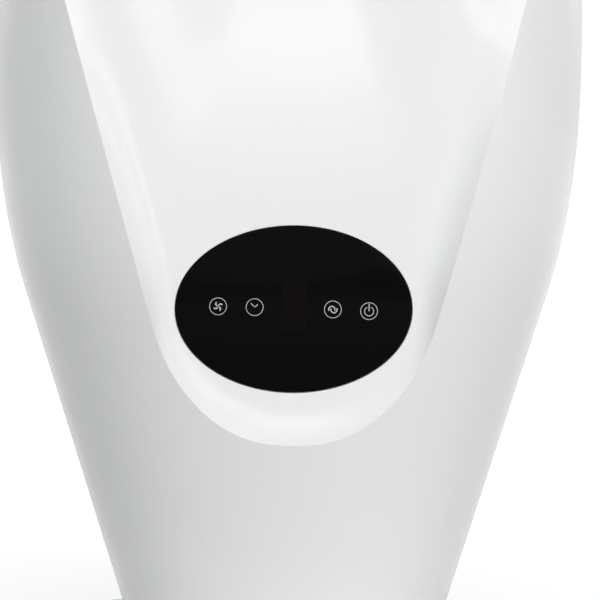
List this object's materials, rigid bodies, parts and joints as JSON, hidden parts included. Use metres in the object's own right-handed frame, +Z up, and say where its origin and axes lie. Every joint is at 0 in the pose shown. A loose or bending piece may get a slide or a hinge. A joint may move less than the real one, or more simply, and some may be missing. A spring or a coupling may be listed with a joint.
{
  "type": "bladeless tower fan",
  "caption": "Bladeless tower fan: a tapered round body with an oval touch panel carries a tall hollow loop and swings on a round base; hidden impeller, motor and rear inlet grille.",
  "frame": {"origin": "middle of the round base, on the floor under its feet; the tower's swing axis stands on it", "axes": "+Z up along the tower, the front with the touch panel faces -Y, +X to the right seen from the front"},
  "size_m": [0.28, 0.28, 0.98],
  "materials": {
    "casing_white": "glossy, smooth",
    "black_plastic": "satin",
    "grey_plastic": "satin",
    "black_rubber": "matte",
    "bright_steel": "plated, bright",
    "motor_steel": "drawn can",
    "ballast_iron": "painted",
    "nylon": "natural",
    "board_green": "solder mask",
    "display_grey": "satin",
    "filter_grey": "open foam",
    "lens_black": "glossy, smooth"
  },
  "bodies": {
    "base": {"base_cover": "casing_white", "base_plate": "black_plastic", "ballast_plate": "ballast_iron", "foot_1": "black_rubber", "foot_2": "black_rubber", "foot_3": "black_rubber", "foot_4": "black_rubber", "foot_5": "black_rubber", "foot_6": "black_rubber", "base_screw_1": "bright_steel", "base_screw_2": "bright_steel", "base_screw_3": "bright_steel", "base_screw_4": "bright_steel", "cord_gland": "black_rubber", "spindle_tube": "bright_steel", "thrust_washer": "nylon", "sun_gear": "nylon", "spindle_nut": "bright_steel"},
    "tower": {"swivel_deck": "grey_plastic", "stepper_motor": "motor_steel", "stepper_screw_1": "bright_steel", "stepper_screw_2": "bright_steel", "main_board": "board_green", "power_supply_block": "black_plastic", "plenum_deck": "grey_plastic", "isolator_ring": "black_rubber", "fan_duct": "grey_plastic", "inlet_bellmouth": "grey_plastic", "motor_cushion": "black_rubber", "fan_motor": "motor_steel", "motor_cap": "grey_plastic", "front_shell": "casing_white", "rear_shell": "casing_white", "panel_lens": "lens_black", "touch_board": "board_green", "touch_spring_1": "bright_steel", "touch_spring_2": "bright_steel", "touch_spring_3": "bright_steel", "touch_spring_4": "bright_steel", "display_module": "display_grey", "ir_receiver": "black_plastic", "board_screw_1": "bright_steel", "board_screw_2": "bright_steel", "board_screw_3": "bright_steel", "board_screw_4": "bright_steel", "shell_screw_1": "bright_steel", "shell_screw_2": "bright_steel", "shell_screw_3": "bright_steel", "shell_screw_4": "bright_steel", "shell_screw_5": "bright_steel", "shell_screw_6": "bright_steel", "shell_screw_7": "bright_steel", "shell_screw_8": "bright_steel"},
    "pinion": {"pinion": "nylon"},
    "rotor": {"impeller_shaft": "bright_steel", "impeller": "black_plastic", "impeller_nut": "bright_steel"},
    "inlet_cover": {"inlet_grille": "casing_white", "inlet_filter": "filter_grey"}
  },
  "joints": [
    {"name": "oscillate", "type": "hinge", "parent": "base", "child": "tower", "pos_m": [0, 0, 0.044], "axis": [0, 0, 1], "range_deg": [-40, 40]},
    {"name": "pinion_spin", "type": "hinge", "parent": "tower", "child": "pinion", "pos_m": [0, -0.035, 0.056], "axis": [0, 0, 1], "range_deg": [-100, 100]},
    {"name": "impeller_spin", "type": "hinge", "parent": "tower", "child": "rotor", "pos_m": [0, 0, 0.164], "axis": [0, 0, 1], "continuous": true},
    {"name": "inlet_cover_pull", "type": "slide", "parent": "tower", "child": "inlet_cover", "axis": [0, 1, 0], "range_m": [0, 0.04]}
  ],
  "couplings": [
    {"joint": "pinion_spin", "follows": "oscillate", "ratio": 2.5}
  ]
}
